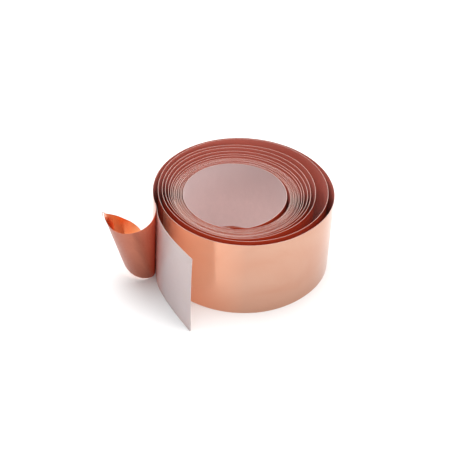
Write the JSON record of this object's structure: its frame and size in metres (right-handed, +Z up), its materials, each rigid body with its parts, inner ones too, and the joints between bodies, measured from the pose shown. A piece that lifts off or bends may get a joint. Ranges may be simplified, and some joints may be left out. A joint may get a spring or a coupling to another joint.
{
  "type": "copper foil tape roll",
  "caption": "Coreless roll of wide adhesive copper foil tape with loose outer turns, its copper end peeled off the paper liner and curled away.",
  "frame": {"origin": "centre of the whole part's footprint, on the surface it stands on", "axes": "+Z up along the winding axis; +X along the longest extent, away from the peeled copper end"},
  "size_m": [0.1272, 0.117, 0.0607],
  "materials": {
    "copper": "polished",
    "adhesive": "satin",
    "paper": "satin",
    "wound_edges": "satin"
  },
  "bodies": {
    "pack": {"pack_outer": "wound_edges", "pack_middle": "wound_edges", "pack_inner": "wound_edges", "foil_turn_inner": "copper", "liner_turn_inner": "paper"},
    "turn_1": {"foil_turn_1": "copper", "liner_turn_1": "paper"},
    "turn_2": {"foil_turn_2": "copper", "liner_turn_2": "paper"},
    "turn_3": {"foil_turn_3": "copper", "liner_turn_3": "paper"},
    "turn_4": {"foil_turn_4": "copper", "liner_turn_4": "paper"},
    "turn_5": {"foil_turn_5": "copper", "liner_turn_5": "paper"},
    "turn_6": {"foil_turn_6": "copper", "liner_turn_6": "paper"},
    "turn_7": {"foil_turn_7": "copper", "liner_turn_7": "paper"},
    "copper_tail": {"tail_foil": "copper", "tail_adhesive": "adhesive"},
    "liner_tail": {"tail_liner": "paper"}
  },
  "joints": [
    {"name": "turn_7_slide", "type": "slide", "parent": "pack", "child": "turn_7", "axis": [0, 0, 1], "range_m": [0, 0.003]},
    {"name": "turn_6_slide", "type": "slide", "parent": "turn_7", "child": "turn_6", "axis": [0, 0, 1], "range_m": [0, 0.003]},
    {"name": "turn_5_slide", "type": "slide", "parent": "turn_6", "child": "turn_5", "axis": [0, 0, 1], "range_m": [0, 0.003]},
    {"name": "turn_4_slide", "type": "slide", "parent": "turn_5", "child": "turn_4", "axis": [0, 0, 1], "range_m": [0, 0.003]},
    {"name": "turn_3_slide", "type": "slide", "parent": "turn_4", "child": "turn_3", "axis": [0, 0, 1], "range_m": [0, 0.003]},
    {"name": "turn_2_slide", "type": "slide", "parent": "turn_3", "child": "turn_2", "axis": [0, 0, 1], "range_m": [0, 0.003]},
    {"name": "turn_1_slide", "type": "slide", "parent": "turn_2", "child": "turn_1", "axis": [0, 0, 1], "range_m": [0, 0.003]},
    {"name": "copper_tail_bend", "type": "hinge", "parent": "turn_1", "child": "copper_tail", "pos_m": [-0.03811, -0.0085, 0.025], "axis": [0, 0, 1], "range_deg": [-40, 0]},
    {"name": "liner_tail_bend", "type": "hinge", "parent": "turn_1", "child": "liner_tail", "pos_m": [-0.03777, -0.00842, 0.025], "axis": [0, 0, 1], "range_deg": [0, 15], "stiffness_Nm_per_rad": 0.0005}
  ],
  "couplings": [
    {"joint": "turn_6_slide", "follows": "turn_7_slide", "ratio": 1},
    {"joint": "turn_5_slide", "follows": "turn_7_slide", "ratio": 1},
    {"joint": "turn_4_slide", "follows": "turn_7_slide", "ratio": 1},
    {"joint": "turn_3_slide", "follows": "turn_7_slide", "ratio": 1},
    {"joint": "turn_2_slide", "follows": "turn_7_slide", "ratio": 1},
    {"joint": "turn_1_slide", "follows": "turn_7_slide", "ratio": 1}
  ]
}
